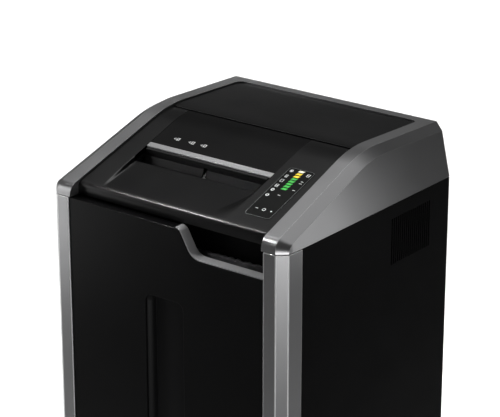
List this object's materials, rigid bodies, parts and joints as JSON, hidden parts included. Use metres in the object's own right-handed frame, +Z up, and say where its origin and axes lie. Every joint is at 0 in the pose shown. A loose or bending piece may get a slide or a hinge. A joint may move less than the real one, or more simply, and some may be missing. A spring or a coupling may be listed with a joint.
{
  "type": "paper shredder",
  "caption": "Floor-standing office paper shredder with a silver-framed sloped feed head, control strip, caster base and a front pull-out waste bin.",
  "frame": {"origin": "on the floor, under the middle of the overall box", "axes": "+X to the right as seen by the user, +Y from the front to the rear, +Z up; the user stands on the -Y side"},
  "size_m": [0.48, 0.46, 0.8576],
  "materials": {
    "silver_plastic": "fine textured silver-grey moulding",
    "silver_paint": "satin silver-grey paint",
    "black_plastic": "satin black moulding",
    "black_sheet": "fine textured black powder coat",
    "gloss_overlay": "gloss black film",
    "charcoal_plastic": "matte dark grey moulding",
    "bin_plastic": "matte dark grey moulding",
    "light_trim": "satin light silver moulding",
    "status_light": "clear coloured lens",
    "zinc_steel": "zinc-plated sheet steel",
    "cutter_steel": "oiled ground steel",
    "bush_bronze": "sintered bronze",
    "motor_enamel": "satin black enamel",
    "circuit_board": "green solder mask",
    "wheel_rubber": "dark grey moulded tread",
    "brake_red": "satin red moulding"
  },
  "bodies": {
    "root": {"top_frame": "silver_plastic", "rear_lid": "black_plastic", "front_panel": "black_plastic", "center_panel": "black_plastic", "sensor_rail": "light_trim", "control_overlay": "gloss_overlay", "status_lights": "status_light", "post_left": "silver_paint", "post_right": "silver_paint", "side_panel_left": "black_sheet", "side_panel_right": "black_sheet", "rear_panel": "black_sheet", "base_pan": "black_plastic", "frame_wall_left": "zinc_steel", "frame_wall_right": "zinc_steel", "head_deck": "black_sheet", "slide_outers": "zinc_steel", "drawer_catch": "charcoal_plastic", "block_plate_left": "zinc_steel", "block_plate_right": "zinc_steel", "shaft_bushes": "bush_bronze", "strippers": "charcoal_plastic", "tie_rods": "cutter_steel", "feed_guide": "charcoal_plastic", "motor": "motor_enamel", "control_board": "circuit_board", "power_board": "circuit_board", "power_inlet": "charcoal_plastic", "fan_frame": "charcoal_plastic", "caster_mounts": "zinc_steel"},
    "drawer": {"drawer_front": "black_plastic", "grip_cup": "charcoal_plastic", "notch_trim": "silver_plastic", "drawer_frame": "zinc_steel", "waste_bin": "bin_plastic", "bag_frame": "bin_plastic", "slide_inners": "zinc_steel"},
    "slide_middle": {"slide_middles": "zinc_steel"},
    "cutter_rear_shaft": {"cutter_rear": "cutter_steel", "cutter_gear_rear": "cutter_steel"},
    "cutter_front_shaft": {"cutter_front": "cutter_steel", "cutter_gear_front": "cutter_steel"},
    "layshaft": {"layshaft_gear": "cutter_steel"},
    "motor_rotor": {"motor_shaft": "cutter_steel"},
    "fan": {"fan_rotor": "charcoal_plastic"},
    "reverse_key": {"key_reverse": "gloss_overlay"},
    "power_key": {"key_power": "gloss_overlay"},
    "forward_key": {"key_forward": "gloss_overlay"},
    "rocker": {"power_switch": "charcoal_plastic"},
    "lever": {"thickness_lever": "charcoal_plastic"},
    "fork_front_left": {"caster_fork_front_left": "zinc_steel"},
    "wheel_front_left": {"caster_wheel_front_left": "wheel_rubber"},
    "fork_front_right": {"caster_fork_front_right": "zinc_steel"},
    "wheel_front_right": {"caster_wheel_front_right": "wheel_rubber"},
    "fork_rear_left": {"caster_fork_rear_left": "zinc_steel"},
    "wheel_rear_left": {"caster_wheel_rear_left": "wheel_rubber"},
    "fork_rear_right": {"caster_fork_rear_right": "zinc_steel"},
    "wheel_rear_right": {"caster_wheel_rear_right": "wheel_rubber"},
    "brake_left": {"caster_brake_left": "brake_red"},
    "brake_right": {"caster_brake_right": "brake_red"}
  },
  "joints": [
    {"name": "drawer_slide", "type": "slide", "parent": "root", "child": "drawer", "axis": [0, -1, 0], "range_m": [0, 0.38]},
    {"name": "middle_slide", "type": "slide", "parent": "root", "child": "slide_middle", "axis": [0, -1, 0], "range_m": [0, 0.19]},
    {"name": "cutter_rear_spin", "type": "hinge", "parent": "root", "child": "cutter_rear_shaft", "pos_m": [0, -0.082, 0.76], "axis": [1, 0, 0], "continuous": true},
    {"name": "cutter_front_spin", "type": "hinge", "parent": "root", "child": "cutter_front_shaft", "pos_m": [0, -0.133, 0.76], "axis": [1, 0, 0], "continuous": true},
    {"name": "layshaft_spin", "type": "hinge", "parent": "root", "child": "layshaft", "pos_m": [0, -0.034, 0.76], "axis": [1, 0, 0], "continuous": true},
    {"name": "motor_spin", "type": "hinge", "parent": "root", "child": "motor_rotor", "pos_m": [0, 0.011, 0.76], "axis": [1, 0, 0], "continuous": true},
    {"name": "fan_spin", "type": "hinge", "parent": "root", "child": "fan", "pos_m": [0.2165, 0.1175, 0.672], "axis": [1, 0, 0], "continuous": true},
    {"name": "reverse_press", "type": "slide", "parent": "root", "child": "reverse_key", "axis": [0, 0.3173, -0.9483], "range_m": [0, 0.0006], "stiffness_N_per_m": 1500},
    {"name": "power_press", "type": "slide", "parent": "root", "child": "power_key", "axis": [0, 0.3173, -0.9483], "range_m": [0, 0.0006], "stiffness_N_per_m": 1500},
    {"name": "forward_press", "type": "slide", "parent": "root", "child": "forward_key", "axis": [0, 0.3173, -0.9483], "range_m": [0, 0.0006], "stiffness_N_per_m": 1500},
    {"name": "rocker_tilt", "type": "hinge", "parent": "root", "child": "rocker", "pos_m": [0.17, 0.223, 0.688], "axis": [1, 0, 0], "range_deg": [0, 12]},
    {"name": "lever_swing", "type": "hinge", "parent": "root", "child": "lever", "pos_m": [-0.02, -0.089, 0.802], "axis": [1, 0, 0], "range_deg": [0, 12], "stiffness_Nm_per_rad": 0.02},
    {"name": "swivel_front_left", "type": "hinge", "parent": "root", "child": "fork_front_left", "pos_m": [-0.172, -0.168, 0.06], "axis": [0, 0, 1], "continuous": true},
    {"name": "roll_front_left", "type": "hinge", "parent": "fork_front_left", "child": "wheel_front_left", "pos_m": [-0.172, -0.15, 0.025], "axis": [1, 0, 0], "continuous": true},
    {"name": "swivel_front_right", "type": "hinge", "parent": "root", "child": "fork_front_right", "pos_m": [0.172, -0.168, 0.06], "axis": [0, 0, 1], "continuous": true},
    {"name": "roll_front_right", "type": "hinge", "parent": "fork_front_right", "child": "wheel_front_right", "pos_m": [0.172, -0.15, 0.025], "axis": [1, 0, 0], "continuous": true},
    {"name": "swivel_rear_left", "type": "hinge", "parent": "root", "child": "fork_rear_left", "pos_m": [-0.172, 0.168, 0.06], "axis": [0, 0, 1], "continuous": true},
    {"name": "roll_rear_left", "type": "hinge", "parent": "fork_rear_left", "child": "wheel_rear_left", "pos_m": [-0.172, 0.186, 0.025], "axis": [1, 0, 0], "continuous": true},
    {"name": "swivel_rear_right", "type": "hinge", "parent": "root", "child": "fork_rear_right", "pos_m": [0.172, 0.168, 0.06], "axis": [0, 0, 1], "continuous": true},
    {"name": "roll_rear_right", "type": "hinge", "parent": "fork_rear_right", "child": "wheel_rear_right", "pos_m": [0.172, 0.186, 0.025], "axis": [1, 0, 0], "continuous": true},
    {"name": "brake_press_left", "type": "hinge", "parent": "fork_front_left", "child": "brake_left", "pos_m": [-0.172, -0.138, 0.057], "axis": [1, 0, 0], "range_deg": [-12, 0]},
    {"name": "brake_press_right", "type": "hinge", "parent": "fork_front_right", "child": "brake_right", "pos_m": [0.172, -0.138, 0.057], "axis": [1, 0, 0], "range_deg": [-12, 0]}
  ],
  "couplings": [
    {"joint": "middle_slide", "follows": "drawer_slide", "ratio": 0.5},
    {"joint": "cutter_front_spin", "follows": "cutter_rear_spin", "ratio": -1},
    {"joint": "layshaft_spin", "follows": "cutter_rear_spin", "ratio": -3},
    {"joint": "motor_spin", "follows": "cutter_rear_spin", "ratio": 9}
  ]
}
